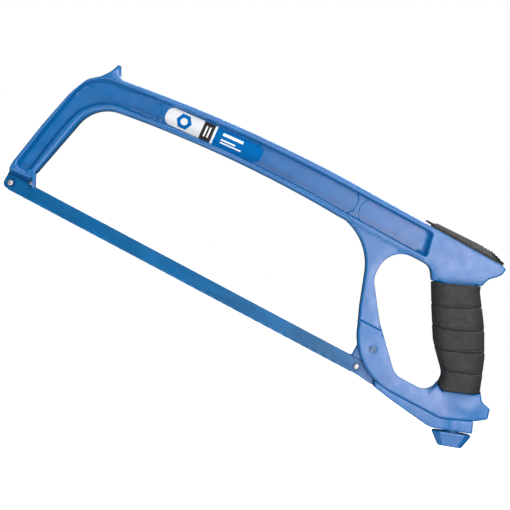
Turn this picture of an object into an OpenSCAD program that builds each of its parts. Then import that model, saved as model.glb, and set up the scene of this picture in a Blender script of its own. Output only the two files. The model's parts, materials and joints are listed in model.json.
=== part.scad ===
// High-tension hacksaw: a cast I-section frame with a D-shaped handle, a 300 mm blade, and a lever
// under the handle that a thumb knob pulls up to tension the blade.
// All places are worked out from the blade: X runs along it from the front hole to the handle, Z is
// up, and Y is across. The whole saw is then moved so that its origin is in the middle of the grip.

/* [Blade] */
// Distance between the centres of the blade's two holes
hole_pitch = 300; // [299.5:0.1:300.5]
// Width of the blade from its back to the tooth tips
blade_width = 12; // [11.6:0.1:12.4]
// Thickness of the blade
blade_thick = 0.65; // [0.5:0.05:0.8]
// Distance from one tooth to the next
tooth_pitch = 1.06; // [1:0.01:2]
// Depth of a tooth
tooth_depth = 0.8; // [0.5:0.1:1]
// Radius of the blade's holes
hole_r = 2.7; // [2.6:0.05:2.8]
// Radius of the pegs that hook the blade
peg_r = 1.9; // [1.8:0.05:1.95]

/* [Casting] */
// Thickness of the front arm and the top bar
bar_thick = 18; // [16:0.5:19]
// Thickness of the web between the bar's flanges
web_thick = 5; // [4:0.5:7]
// Thickness of the guard in front of the fingers
guard_thick = 17; // [15:0.5:18]
// Thickness of the cheeks, the bow and the pommel
cheek_thick = 20; // [19:0.5:22]
// Thickness of the seat that the blade's front end lies on
seat_thick = 6; // [5:0.5:7]
// Width of the slot between the cheeks
slot_width = 10.6; // [10.4:0.1:11]

/* [Tension lever] */
// Thickness of the lever's tongue, between the cheeks
tongue_thick = 8.8; // [8.4:0.1:8.8]
// Radius of the pivot pin
pivot_r = 2.95; // [2.5:0.05:3]
// Radius of the rounded end of the tongue
tongue_r = 6.8; // [6.4:0.1:6.8]
// Gap between the lever and the bow at full tension
lever_gap = 0.6; // [0.5:0.1:0.8]

/* [Tension screw] */
// Radius of the screw
screw_r = 3; // [2.9:0.05:3]
// Lean of the screw from upright, in degrees
screw_lean = 19; // [18.5:0.1:19.5]
// Length of the knob along the lever
knob_length = 30; // [28:0.5:30]
// Thickness of the knob across the saw
knob_thick = 20; // [18:0.5:20]
// Height of the knob
knob_height = 11.1; // [10:0.1:12]

/* [Grip] */
// Thickness of the rubber grip across the saw
grip_thick = 30; // [28:0.5:32]
// Thickness of the cast core inside the grip
core_thick = 16; // [15:0.5:17]
// Thickness of the hard liner under the rubber
liner_thick = 1.8; // [1.2:0.1:2]

/* [Hidden] */
$fn = 48;

// Radial clearance of a running fit
running = 0.05;
// Far enough to cut right through the saw
reach_through = 40;
// How far a bore runs on past the face that it opens in
run_on = 1;

// Middle of the grip, from the blade's front hole
grip_at = [358, 57];
// Front and rear pegs: each pulls its hole outwards until it touches, less a running clearance
peg_pull = hole_r - peg_r - running;
front_peg_at = [-peg_pull, 0];
rear_peg_at = [hole_pitch + peg_pull, 0];
stop_peg_at = [12.8, 7.3];
stop_peg_r = 0.8;
stop_peg_stand = 1.8;
// Back of the slanted tab, clear of the blade's near face
tab_back = -3.2;
// How far the pegs stand out of the face that the blade lies on
peg_stand = 3.3;
peg_tip = 0.5;

blade_top = 6;
blade_bottom = blade_top - blade_width;
blade_front = -6;
blade_rear = hole_pitch + 4.4;
blade_end_r = 4.4;
tooth_clear = 6;
blade_lift = 0.05;

pivot_at = [305.2, 17.5];
pivot_half = cheek_thick / 2 + 0.2;
bush_r = 4.2;
washer_r = 6.4;
washer_thick = 0.8;

// Top of the knob where the screw's axis crosses it
knob_at = [389.05, -10.3];
knob_gap = 1.5;
knob_foot_length = 18.2;
knob_foot_thick = 14;
knob_pocket_r = 8.6;
knob_pocket_depth = 2.5;
screw_foot = -9;
screw_tip = 42;
insert_from = 11.2;
insert_to = 27;
insert_r = 5;
screw_bore_from = 4;
screw_bore_to = 47;
// The lever's slot for the screw, along the screw's axis
slot_from = -5;
slot_depth = 25;
roll_pin_r = 1.25;
roll_pin_half = 8.2;
roll_pin_drop = 6;
ring_r = 4.4;
// Bottom of the groove that the ring snaps into
screw_neck_r = screw_r - 0.5;
ring_from = 39.5;
ring_thick = 1;
saddle_r = 20;
saddle_half = 7;
saddle_thick = 3;
// The screw slides along the lever's slot as the lever swings
slot_half = screw_r + 0.5;
slot_travel = 4.4;
washer_depth = knob_pocket_depth + knob_gap - saddle_thick;

label_lift = 0.3;
pad_half = 7.6;
carrier_half = 8;
pad_screw_r = 1.5;
pad_screw_head_r = 2.6;
pad_screw_xs = [316, 340];
pad_screw_foot = 112;
pad_screw_length = 11.4;
pad_screw_head = 1.4;
// Room for the screws' heads in the underside of the pad
pad_pocket_from = 120;
pad_pocket_depth = 4.8;
// Lean of the grip from upright, in degrees, and the block that rounds its sides
grip_lean = 28;
grip_width = 43;
grip_side_r = 12;

casting_blue = [0.27, 0.43, 0.75];
blade_blue = [0.03, 0.33, 0.56];
rubber_grey = [0.16, 0.16, 0.16];
steel = [0.72, 0.72, 0.74];

// ---- outlines, as [x, z, corner radius] points ----

function unit(v) = v / norm(v);
function flat(p) = [p[0], p[1]];
function turned(v, angle) = [
    v[0] * cos(angle) - v[1] * sin(angle),
    v[0] * sin(angle) + v[1] * cos(angle)
];
// One corner of an outline, as an arc of its own radius
function corner(before, at, after) =
    let (
        p = flat(at),
        a = unit(flat(before) - p),
        b = unit(flat(after) - p),
        half = acos(a * b) / 2,
        start = a * at[2] / tan(half) - unit(a + b) * at[2] / sin(half),
        centre = p + unit(a + b) * at[2] / sin(half),
        turn = -sign(cross(a, b)) * (180 - 2 * half),
        steps = max(2, ceil(abs(turn) / (at[2] > 15 ? 5 : 15)))
    )
    [for (k = [0 : steps]) centre + turned(start, turn * k / steps)];
function rounded(outline) =
    let (n = len(outline))
    [for (i = [0 : n - 1])
        each outline[i][2] > 0
            ? corner(outline[(i + n - 1) % n], outline[i], outline[(i + 1) % n])
            : [flat(outline[i])]];
// Points of a shallow arch from a to b that rises by rise at its middle
function arch(a, b, rise, parts = 10) = [
    for (k = [1 : parts - 1])
        let (t = k / parts)
        [a[0] + (b[0] - a[0]) * t, a[1] + (b[1] - a[1]) * t + 4 * rise * t * (1 - t), 0]
];
// An anticlockwise outline moved outwards by depth on every side
function outset(outline, depth) =
    let (n = len(outline))
    [for (i = [0 : n - 1])
        let (
            p = flat(outline[i]),
            a = unit(p - flat(outline[(i + n - 1) % n])),
            b = unit(flat(outline[(i + 1) % n]) - p),
            na = [a[1], -a[0]],
            nb = [b[1], -b[0]],
            move = (na + nb) * depth / (1 + na * nb),
            grow = sign(cross(a, b)) * depth
        )
        [p[0] + move[0], p[1] + move[1], max(outline[i][2] + grow, 0)]];

// Front arm, horn, top bar and tail, round to the arm's inner side
bar_outline = concat(
    [[-6, 8.8, 0], [-6.3, 14, 20], [1, 52.6, 60], [8.2, 83.5, 60], [14.6, 98, 16], [22.9, 104.8, 12],
        [27.6, 111.2, 20], [30.3, 119.6, 0.9], [32.3, 119.3, 0.9], [36.8, 110, 6]],
    arch([40, 110], [220, 123.5], 3.4),
    [[220, 123.5, 0], [363.5, 120.8, 1], [366.9, 119.8, 1.2], [366, 114.5, 6], [358.2, 103.4, 8],
        [356.5, 99.6, 0], [329, 87.2, 0], [320.7, 85.7, 0], [314.8, 94.9, 9], [236, 95.6, 0]],
    arch([236, 95.6], [52, 87.2], 4.3),
    [[29, 84, 28], [13.6, 17, 3], [10.8, 9.8, 0]]
);
// Slanted tab in front of the blade's upper edge, on the near side only
tab_outline = [
    [8, 14, 0], [13.4, 17, 0], [18.3, 6.4, 0.9], [16.4, 3.9, 0.9], [14.4, 4.6, 0.7], [11, 10.6, 1], [8, 9.6, 0]
];
// Seat behind the front end of the blade
front_seat_outline = [
    [-6, 12, 0], [-6, -5.2, 4.4], [12.4, -5.2, 1.5], [12.4, 12, 0]
];
// Recess in each side of the arm and the bar, down to the web
recess_outline = concat(
    [[-3, 13.4, 3.5], [2.6, 46, 60], [9, 78, 40], [14.8, 103.2, 26]],
    arch([44, 106.7], [220, 119], 3),
    [[220, 119, 0], [304.4, 118.4, 2.5], [308.8, 98.9, 2.5], [240, 99.9, 0]],
    arch([240, 99.9], [56, 91.2], 4),
    [[23.6, 87.4, 34], [14.6, 50, 60], [8.2, 13.4, 3.5]]
);
// Guard between the bar and the cheeks
guard_outline = [
    [222, 97, 0], [262.5, 95.4, 44], [281.2, 42, 30], [286.3, 30, 0], [316, 30, 0], [316, 97, 0]
];
// Cheeks, bow and pommel
handle_outline = [
    [285.9, 32.6, 0], [294.9, -4.6, 48], [375.5, -4.7, 16], [400.5, 5.8, 5], [408.2, 11.5, 1.4],
    [406.1, 19.4, 2], [398, 21.3, 6], [392, 30, 0], [364, 30, 0], [310, 32.6, 0]
];
hand_opening = [
    [280, 95, 20], [280, 66.5, 16], [300, 38.7, 80], [329.5, 8.1, 16], [361.4, 8.1, 11], [361.4, 17.5, 0],
    [366, 24, 0], [349, 60, 0], [328, 86.5, 0], [320.5, 86, 0], [314.8, 94.9, 9]
];
// Rubber grip, anticlockwise from its lower front corner
grip_outline = [
    [361.4, 17.2, 1], [369.5, 13.9, 10], [394.3, 26, 1], [390.3, 37, 14], [384.5, 52.5, 60],
    [372.9, 73.6, 60], [357.6, 95.5, 12], [356.5, 99.6, 1], [329, 87.2, 20], [320.4, 85.7, 1],
    [331, 66.8, 60], [343.5, 45.6, 40], [356, 32, 12], [361.4, 26.5, 9]
];
// Cast core inside the grip, anticlockwise, and its ends, where it joins the casting
core_outline = [
    [366.5, 20.5, 2], [388.6, 28, 2], [385.2, 37, 14], [379.6, 51, 60], [368.4, 71, 60], [352.4, 93, 3],
    [327.6, 82.6, 2], [335.6, 68, 60], [347.7, 48.5, 40], [360.5, 34.5, 12], [366.5, 27.5, 6]
];
core_neck_low = [[367.5, 10], [367.5, 26], [386, 30], [388, 14]];
core_neck_high = [[331, 80], [352, 90], [352, 101], [327.5, 90]];
// Slot between the cheeks
slot_outline = [
    [276, 31.4, 0], [302.3, 31.4, 2.5], [329, 4, 6], [338, 1, 3], [338, -8, 0], [276, -8, 0]
];
// Tongue of the lever, apart from its round end
tongue_outline = [
    [289, -4.6, 2.5], [289, 6, 0.8], [293.5, 6, 1.6], [293.5, 15.42, 0.8], [300.39, 22.31, 0],
    [309.95, 22.37, 0], [328.5, 3.2, 6], [335.6, -2, 2], [335.6, -6, 0], [315, -6.7, 0], [301.7, -5.3, 0]
];
// Part of the tongue that is cut back for the blade
seat_cut_outline = [
    [280, 6.6, 0], [313, 6.6, 0], [317.6, -2.6, 0], [320.4, -9, 0], [280, -9, 0]
];
// Wide part of the lever, under the bow
lever_outline = [
    [317.3, -2.4 - lever_gap, 0.8], [331, -4.6 - lever_gap, 20], [375.5, -4.7 - lever_gap, 16],
    [399.2, 5.2 - lever_gap, 1], [402.7, -3.9, 1], [374.5, -13.7, 4], [369, -14.4, 8],
    [337, -10.3, 60], [319.9, -7.4, 0]
];
pad_outline = [
    [295.8, 124.2, 0], [301, 123.7, 0], [303, 123, 0], [363, 121.9, 0], [364, 122.8, 0],
    [357.5, 125.4, 2], [351.5, 127, 2], [342, 127.2, 0], [304, 126.2, 2], [301, 125, 0], [295.8, 124.9, 0]
];
// Plate under the pad, on the bar's own slope
carrier_outline = [
    [301.3, 122.3, 0], [363.4, 120.85, 0], [363, 121.9, 0], [303, 123, 0], [301.3, 123.6, 0]
];
badge_outline = [
    [79.8, 95.6, 6.2], [161.2, 101.2, 6.2], [161.2, 116.5, 6.2], [79.8, 110.4, 6.2]
];

// ---- placing ----

// Moves the saw from the blade's origin to the middle of the grip
module in_hand() translate([-grip_at[0], 0, -grip_at[1]]) children();
// Stands a flat outline up, from y0 to y1 across the saw
module plate(y0, y1) translate([0, y1, 0]) rotate([90, 0, 0]) linear_extrude(y1 - y0) children();
// The same about the middle of the saw
module slab(thick) plate(-thick / 2, thick / 2) children();
module shape(outline) polygon(rounded(outline));
// A round bar across the saw, at [x, z]
module cross_rod(at, r, y0, y1) translate([at[0], y1, at[1]]) rotate([90, 0, 0]) cylinder(h = y1 - y0, r = r);
// The screw's own axes: origin at the top of the knob, +Z up into the handle
module on_screw() translate([knob_at[0], 0, knob_at[1]]) rotate([0, -screw_lean, 0]) children();

// Both bores for the thumb pad's screws
module pad_screw_bores() for (x = pad_screw_xs) translate([x, 0, pad_screw_foot])
    cylinder(h = pad_screw_length + pad_screw_head + run_on, r = pad_screw_r);

// ---- casting ----

module core_solid() {
    slab(core_thick) {
        shape(core_outline);
        polygon(core_neck_low);
        polygon(core_neck_high);
    }
}

module casting_blank() {
    difference() {
        union() {
            slab(bar_thick) shape(bar_outline);
            slab(guard_thick) shape(guard_outline);
            slab(cheek_thick) shape(handle_outline);
            plate(0, seat_thick) shape(front_seat_outline);
            plate(-bar_thick / 2, tab_back) shape(tab_outline);
        }
        slab(reach_through) shape(hand_opening);
        slab(reach_through) shape(grip_outline);
    }
    core_solid();
}

module frame_casting() color(casting_blue) in_hand() difference() {
    casting_blank();
    plate(-reach_through, -web_thick / 2) shape(recess_outline);
    plate(web_thick / 2, reach_through) shape(recess_outline);
    slab(slot_width) shape(slot_outline);
    cross_rod(pivot_at, pivot_r, -reach_through, reach_through);
    cross_rod(front_peg_at, peg_r, -run_on, seat_thick + run_on);
    cross_rod(stop_peg_at, stop_peg_r, -run_on, seat_thick + run_on);
    on_screw() translate([0, 0, screw_bore_from]) cylinder(h = screw_bore_to - screw_bore_from, r = insert_r);
    pad_screw_bores();
}

// ---- blade and its pegs ----

module peg(at, back) {
    cross_rod(at, peg_r, -peg_stand + peg_tip, back);
    translate([at[0], -peg_stand + peg_tip, at[1]])
        rotate([90, 0, 0]) cylinder(h = peg_tip, r1 = peg_r, r2 = peg_r - peg_tip);
}

module front_blade_pin() color(steel) in_hand() peg(front_peg_at, seat_thick);
module rear_blade_pin() color(steel) in_hand() peg(rear_peg_at, tongue_thick / 2);
module front_stop_peg() color(steel) in_hand() cross_rod(stop_peg_at, stop_peg_r, -stop_peg_stand, seat_thick);

// Teeth point forwards, so that the saw cuts on the push
function tooth_row() =
    let (
        gullet = blade_bottom + tooth_depth,
        first = blade_front + tooth_clear,
        count = floor((blade_rear - tooth_clear - first) / tooth_pitch)
    )
    [for (k = [0 : count - 1])
        let (x = first + k * tooth_pitch)
        each [[x, gullet], [x + 0.02, blade_bottom], [x + 0.35 * tooth_pitch, blade_bottom + 0.15]]];

module blade() color(blade_blue) in_hand() difference() {
    plate(-blade_thick - blade_lift, -blade_lift) polygon(concat(
        rounded([[blade_rear, blade_bottom + tooth_depth, blade_end_r], [blade_rear, blade_top, blade_end_r],
            [blade_front, blade_top, blade_end_r], [blade_front, blade_bottom + tooth_depth, blade_end_r]]),
        tooth_row()
    ));
    for (x = [0, hole_pitch]) cross_rod([x, 0], hole_r, -reach_through, reach_through);
}

// ---- tension lever ----

module tension_lever() color(casting_blue) in_hand() difference() {
    union() {
        difference() {
            slab(tongue_thick) union() {
                shape(tongue_outline);
                translate(pivot_at) circle(r = tongue_r);
            }
            plate(-reach_through, 0) shape(seat_cut_outline);
        }
        slab(cheek_thick) shape(lever_outline);
    }
    cross_rod(pivot_at, bush_r, -reach_through, reach_through);
    cross_rod(rear_peg_at, peg_r, -run_on, reach_through);
    on_screw() {
        for (x = [0, slot_travel]) translate([x, 0, slot_from]) cylinder(h = slot_depth, r = slot_half);
        translate([0, -slot_half, slot_from]) cube([slot_travel, 2 * slot_half, slot_depth]);
    }
}

module pivot_pin() color(steel) in_hand() cross_rod(pivot_at, pivot_r, -pivot_half, pivot_half);

module pivot_bush() color("darkgoldenrod") in_hand() difference() {
    cross_rod(pivot_at, bush_r, -tongue_thick / 2, tongue_thick / 2);
    cross_rod(pivot_at, pivot_r + running, -reach_through, reach_through);
}

module pivot_washers() color("darkgoldenrod") in_hand() difference() {
    for (near = [-tongue_thick / 2 - washer_thick, tongue_thick / 2])
        cross_rod(pivot_at, washer_r, near, near + washer_thick);
    cross_rod(pivot_at, pivot_r + running, -reach_through, reach_through);
}

// ---- tension screw ----

// Knob's outline as seen from the side or from an end
function wedge(top, foot, height) = [
    [-top / 2, -1.2, 0.8], [-top / 2 + 0.8, 0, 0.5], [top / 2 - 0.8, 0, 0.5], [top / 2, -1.2, 0.8],
    [foot / 2, -height, 1.5], [-foot / 2, -height, 1.5]
];

module roll_pin() translate([-roll_pin_half, 0, -roll_pin_drop]) rotate([0, 90, 0])
    cylinder(h = 2 * roll_pin_half, r = roll_pin_r);

module knob_blank() {
    intersection() {
        slab(knob_thick) shape(wedge(knob_length, knob_foot_length, knob_height));
        rotate([0, 0, 90]) slab(reach_through) shape(wedge(knob_thick, knob_foot_thick, knob_height));
        translate([0, 0, -knob_height]) linear_extrude(knob_height)
            shape([for (s = [[-1, -1], [1, -1], [1, 1], [-1, 1]])
                [s[0] * knob_length / 2, s[1] * knob_thick / 2, 7]]);
    }
}

module tension_knob() color(casting_blue) in_hand() on_screw() difference() {
    knob_blank();
    translate([0, 0, -knob_pocket_depth]) cylinder(h = 2 * knob_pocket_depth, r = knob_pocket_r);
    translate([0, 0, screw_foot]) cylinder(h = screw_tip - screw_foot, r = screw_r);
    roll_pin();
}

module tension_screw() color(steel) in_hand() on_screw() difference() {
    translate([0, 0, screw_foot]) cylinder(h = screw_tip - screw_foot, r = screw_r);
    roll_pin();
    translate([0, 0, ring_from]) difference() {
        cylinder(h = ring_thick, r = screw_r + 1);
        cylinder(h = ring_thick, r = screw_neck_r);
    }
}

module knob_roll_pin() color(steel) in_hand() on_screw() roll_pin();

module screw_tip_ring() color(steel) in_hand() on_screw() translate([0, 0, ring_from]) difference() {
    cylinder(h = ring_thick, r = ring_r);
    translate([0, 0, -run_on]) cylinder(h = ring_thick + 2 * run_on, r = screw_neck_r);
}

module screw_passage() translate([0, 0, -saddle_half]) cylinder(h = 2 * saddle_half, r = screw_r + running);

// Its round back rolls on the underside of the lever, so the screw stays straight as the lever swings
module thrust_saddle() color(steel) in_hand() on_screw() difference() {
    intersection() {
        translate([0, saddle_half, knob_gap - saddle_r]) rotate([90, 0, 0])
            cylinder(h = 2 * saddle_half, r = saddle_r, $fn = 96);
        translate([0, 0, knob_gap - saddle_thick]) cylinder(h = saddle_thick, r = saddle_half);
    }
    screw_passage();
}

module thrust_washer() color("darkgoldenrod") in_hand() on_screw() difference() {
    translate([0, 0, -knob_pocket_depth]) cylinder(h = washer_depth, r = saddle_half + 0.5);
    screw_passage();
}

module screw_insert() color(steel) in_hand() on_screw() translate([0, 0, insert_from]) difference() {
    cylinder(h = insert_to - insert_from, r = insert_r);
    translate([0, 0, -run_on]) cylinder(h = insert_to - insert_from + 2 * run_on, r = screw_r + running);
}

// ---- grip ----

module liner_blank() slab(core_thick + 2 * liner_thick) shape(outset(core_outline, liner_thick));

module grip_liner() color("dimgray") in_hand() difference() {
    liner_blank();
    core_solid();
}

// Rubber grip with rounded sides
module grip_sleeve() color(rubber_grey) in_hand() difference() {
    intersection() {
        slab(grip_thick) shape(grip_outline);
        translate([grip_at[0], 0, grip_at[1]]) rotate([0, -grip_lean, 0])
            linear_extrude(3 * reach_through, center = true)
                shape([for (s = [[-1, -1], [1, -1], [1, 1], [-1, 1]])
                    [s[0] * grip_width / 2, s[1] * grip_thick / 2, grip_side_r]]);
    }
    liner_blank();
    core_solid();
}

// ---- thumb pad ----

module thumb_pad() color(rubber_grey) in_hand() difference() {
    slab(2 * pad_half) shape(pad_outline);
    for (x = pad_screw_xs) translate([x, 0, pad_pocket_from]) cylinder(h = pad_pocket_depth, r = pad_screw_head_r);
}

module thumb_pad_carrier() color([0.08, 0.08, 0.08]) in_hand() difference() {
    slab(2 * carrier_half) shape(carrier_outline);
    pad_screw_bores();
}

module thumb_pad_screws() color(steel) in_hand() for (x = pad_screw_xs) {
    translate([x, 0, pad_screw_foot]) cylinder(h = pad_screw_length, r = pad_screw_r);
    translate([x, 0, pad_screw_foot + pad_screw_length - 0.2]) cylinder(h = pad_screw_head, r = pad_screw_head_r);
}

module badge() color("silver") in_hand()
    plate(-web_thick / 2 - label_lift, -web_thick / 2) shape(badge_outline);

frame_casting();
front_blade_pin();
front_stop_peg();
blade();
tension_lever();
rear_blade_pin();
pivot_pin();
pivot_bush();
pivot_washers();
tension_knob();
tension_screw();
knob_roll_pin();
thrust_saddle();
thrust_washer();
screw_insert();
screw_tip_ring();
grip_liner();
grip_sleeve();
thumb_pad();
thumb_pad_carrier();
thumb_pad_screws();
badge();
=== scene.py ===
"""A high-tension hacksaw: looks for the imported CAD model. Lengths are in millimetres from the centre of the
blade's front hole (X along the blade to the handle, Z up, the near side is -Y) until a mesh is placed."""
import json
import math

import bmesh
import bpy
import numpy as np
from mathutils import Matrix, Vector
from mathutils.geometry import delaunay_2d_cdt


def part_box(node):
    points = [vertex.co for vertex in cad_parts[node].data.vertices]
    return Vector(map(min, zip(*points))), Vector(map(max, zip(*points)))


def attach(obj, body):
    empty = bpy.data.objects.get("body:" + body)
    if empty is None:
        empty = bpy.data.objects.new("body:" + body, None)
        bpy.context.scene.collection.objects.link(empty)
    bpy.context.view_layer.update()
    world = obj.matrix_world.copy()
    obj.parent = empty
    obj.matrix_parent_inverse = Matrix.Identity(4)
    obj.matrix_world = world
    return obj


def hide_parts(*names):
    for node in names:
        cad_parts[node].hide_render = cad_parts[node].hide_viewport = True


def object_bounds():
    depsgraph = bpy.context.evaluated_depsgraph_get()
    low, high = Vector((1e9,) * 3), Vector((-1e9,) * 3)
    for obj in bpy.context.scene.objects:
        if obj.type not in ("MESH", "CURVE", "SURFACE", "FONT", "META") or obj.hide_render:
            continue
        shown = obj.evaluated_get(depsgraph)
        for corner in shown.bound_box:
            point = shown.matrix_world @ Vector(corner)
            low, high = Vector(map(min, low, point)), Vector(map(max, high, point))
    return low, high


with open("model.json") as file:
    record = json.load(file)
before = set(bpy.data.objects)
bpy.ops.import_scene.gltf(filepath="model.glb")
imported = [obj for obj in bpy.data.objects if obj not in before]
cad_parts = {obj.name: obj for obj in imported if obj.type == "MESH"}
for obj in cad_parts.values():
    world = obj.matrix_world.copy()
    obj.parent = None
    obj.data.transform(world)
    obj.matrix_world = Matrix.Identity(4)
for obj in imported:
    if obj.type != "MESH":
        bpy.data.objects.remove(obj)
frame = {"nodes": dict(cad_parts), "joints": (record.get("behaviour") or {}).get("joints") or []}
cad_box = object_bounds()

MM = 0.001
BLADE_FRONT = 6.0      # from the front hole to the blade's front end
BLADE_BACK = 6.0       # from the holes up to the blade's back
blade_low, blade_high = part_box("blade")
HOLE = np.array([blade_low.x / MM + BLADE_FRONT, 0.0, blade_high.z / MM - BLADE_BACK])


# ---- outlines from the CAD meshes ----

def unit(v):
    return v / np.maximum(np.linalg.norm(v, axis=-1, keepdims=True), 1e-12)


def turned(angle):
    """The unit vector at an angle in degrees, from +X towards +Z."""
    return np.array([math.cos(math.radians(angle)), math.sin(math.radians(angle))])


def tidy_loop(points, close=0.02, straight=0.15):
    """A loop without repeated points or points in the middle of a straight stretch."""
    loop = [p for i, p in enumerate(points) if np.linalg.norm(p - points[i - 1]) > close]
    while True:
        loop = np.array(loop)
        into = unit(loop - np.roll(loop, 1, 0))
        out = unit(np.roll(loop, -1, 0) - loop)
        turn = np.degrees(np.arccos(np.clip((into * out).sum(1), -1, 1)))
        worst = int(np.argmin(turn))
        if turn[worst] > straight:
            return loop
        loop = np.delete(loop, worst, 0)


def cut_loops(node, y):
    """The closed [x, z] loops where a CAD node meets the plane at y, the largest first."""
    mesh = frame["nodes"][node].data
    mesh.calc_loop_triangles()
    points = np.array([v.co for v in mesh.vertices]) / MM - HOLE
    ways = {}
    for triangle in mesh.loop_triangles:
        corners = points[list(triangle.vertices)]
        over = corners[:, 1] > y
        ends = []
        for i in range(3):
            a, b = corners[i], corners[(i + 1) % 3]
            if over[i] != over[(i + 1) % 3]:
                p = a + (b - a) * (y - a[1]) / (b[1] - a[1])
                ends.append((round(p[0], 3), round(p[2], 3)))
        if len(ends) == 2 and ends[0] != ends[1]:
            for a, b in (ends, ends[::-1]):
                ways.setdefault(a, []).append(b)
    loops = []
    while ways:
        start = here = next(iter(ways))
        path = [start]
        while ways.get(here):
            there = ways[here].pop()
            ways[there].remove(here)
            here = there
            if here == start:
                break
            path.append(here)
        ways = {k: v for k, v in ways.items() if v}
        if len(path) > 2:
            loops.append(tidy_loop(np.array(path)))
    return sorted(loops, key=lambda loop: -abs(area(loop)))


def area(loop):
    after = np.roll(loop, -1, 0)
    return 0.5 * float((loop[:, 0] * after[:, 1] - after[:, 0] * loop[:, 1]).sum())


def fine(loop, spacing=1.1, corner=28.0, long=10.0):
    """A loop turned anticlockwise, with its arcs smoothed and its points no further apart than spacing."""
    if area(loop) < 0:
        loop = loop[::-1]
    into = loop - np.roll(loop, 1, 0)
    out = np.roll(loop, -1, 0) - loop
    size_in = np.linalg.norm(into, axis=1)
    size_out = np.linalg.norm(out, axis=1)
    turn = np.degrees(np.arccos(np.clip((unit(into) * unit(out)).sum(1), -1, 1)))
    sharp = (turn > corner) | ((size_in > long) & (size_out > long) & (turn > 4))
    along = unit(into + out)
    result = []
    for i in range(len(loop)):
        j = (i + 1) % len(loop)
        a, b, size = loop[i], loop[j], size_out[i]
        ta = (unit(out[i]) if sharp[i] else along[i]) * size
        tb = (unit(into[j]) if sharp[j] else along[j]) * size
        steps = max(1, math.ceil(size / spacing))
        t = np.arange(steps)[:, None] / steps
        result.append(a * (2 * t**3 - 3 * t**2 + 1) + ta * (t**3 - 2 * t**2 + t)
                      + b * (3 * t**2 - 2 * t**3) + tb * (t**3 - t**2))
    return np.concatenate(result)


def inward(loop):
    """The unit vectors into an anticlockwise loop at its points."""
    way = unit(np.roll(loop, -1, 0) - np.roll(loop, 1, 0))
    return np.stack([-way[:, 1], way[:, 0]], 1)


def circle(centre, r, count=40):
    a = np.arange(count) * 2 * math.pi / count
    return np.array(centre) + r * np.stack([np.cos(a), np.sin(a)], 1)


CHUNK = 600            # points handled at a time, to keep the arrays small


def inside_by(points, loop):
    """Each point's distance to a closed loop, positive inside it."""
    a = loop
    ab = np.roll(loop, -1, 0) - a
    size = np.maximum((ab**2).sum(1), 1e-12)
    rise = np.where(np.abs(ab[:, 1]) < 1e-12, 1e-12, ab[:, 1])
    result = np.empty(len(points))
    for start in range(0, len(points), CHUNK):
        p = points[start:start + CHUNK, None, :]
        ap = p - a
        t = np.clip((ap * ab).sum(2) / size, 0, 1)
        gap = np.sqrt(((ap - t[..., None] * ab)**2).sum(2).min(1))
        crosses = (a[:, 1] > p[:, :, 1]) != (a[:, 1] + ab[:, 1] > p[:, :, 1])
        left = p[:, :, 0] < a[:, 0] + ap[:, :, 1] * ab[:, 0] / rise
        within = (crosses & left).sum(1) % 2 == 1
        result[start:start + CHUNK] = np.where(within, gap, -gap)
    return result


# ---- shapes of edges ----

def smooth(low, high, value):
    t = np.clip((value - low) / (high - low), 0, 1)
    return t * t * (3 - 2 * t)


def edge_drop(d, r):
    """How far a rounded edge of radius r has dropped at a distance d in from the side."""
    return r - np.sqrt(np.maximum(r**2 - (r - np.clip(d, 0, r))**2, 0))


def wall_fall(d, top_r, low_r, draft, depth):
    """Share of the way down a cast wall, at d past its upper edge: a rounding, a slope and a fillet."""
    lean = math.radians(90 - draft)
    a = np.linspace(0, lean, 9)
    upper = np.stack([top_r * (np.sin(a) - math.sin(lean)), top_r * (1 - np.cos(a))], 1)
    lower_turn = 1 - math.cos(lean)
    run = (depth - (top_r + low_r) * lower_turn) / math.tan(lean)
    a = a[::-1]
    lower = np.stack([run + low_r * (math.sin(lean) - np.sin(a)), depth - low_r * (1 - np.cos(a))], 1)
    table = np.concatenate([upper, lower])
    return np.interp(d, table[:, 0], table[:, 1] / depth)


# ---- building meshes ----

def placed(points):
    """Millimetres from the blade's front hole to the row frame, in metres."""
    return (np.asarray(points, float) + HOLE) * MM


SHARP = 38.0           # degrees from which an edge is shaded as an edge


def add_object(name, data):
    item = bpy.data.objects.new(name, data)
    bpy.context.scene.collection.objects.link(item)
    return item


def new_piece(name, points, faces, material=None, sharp=SHARP):
    mesh = bpy.data.meshes.new(name)
    mesh.from_pydata([tuple(p) for p in placed(points)], [], [tuple(int(i) for i in f) for f in faces])
    mesh.validate()
    mesh.shade_smooth()
    mesh.set_sharp_from_angle(angle=math.radians(sharp))
    if material:
        mesh.materials.append(material)
    return add_object(name, mesh)


def rings(loop, offsets, spare=0.92):
    """Points beside a loop at each distance inwards (negative: outwards)."""
    found = []
    for offset in offsets:
        p = loop + inward(loop) * offset
        found.append(p[np.abs(inside_by(p, loop)) > abs(offset) * spare])
    return np.concatenate(found)


def triangulated(loops, loose, keep):
    """The points and anticlockwise faces of a flat mesh with edges along the loops, through the loose points
    too. keep says which faces stay, from an array of their middles."""
    points, edges = [], []
    for loop in loops:
        first = sum(len(p) for p in points)
        count = len(loop)
        points.append(loop)
        edges += [(first + i, first + (i + 1) % count) for i in range(count)]
    flat = [Vector(p) for p in np.concatenate(points + loose)]
    found, _, faces, _, _, _ = delaunay_2d_cdt(flat, edges, [], 0, 1e-5)
    found = np.array([tuple(p) for p in found])
    faces = np.array([f for f in faces if len(f) == 3])
    faces = faces[keep(found[faces].mean(1))]
    a, b, c = found[faces[:, 0]], found[faces[:, 1]], found[faces[:, 2]]
    turn = (b[:, 0] - a[:, 0]) * (c[:, 1] - a[:, 1]) - (b[:, 1] - a[:, 1]) * (c[:, 0] - a[:, 0])
    faces[turn < 0] = faces[turn < 0][:, ::-1]
    used, faces = np.unique(faces, return_inverse=True)
    return found[used], faces.reshape(-1, 3)


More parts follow.
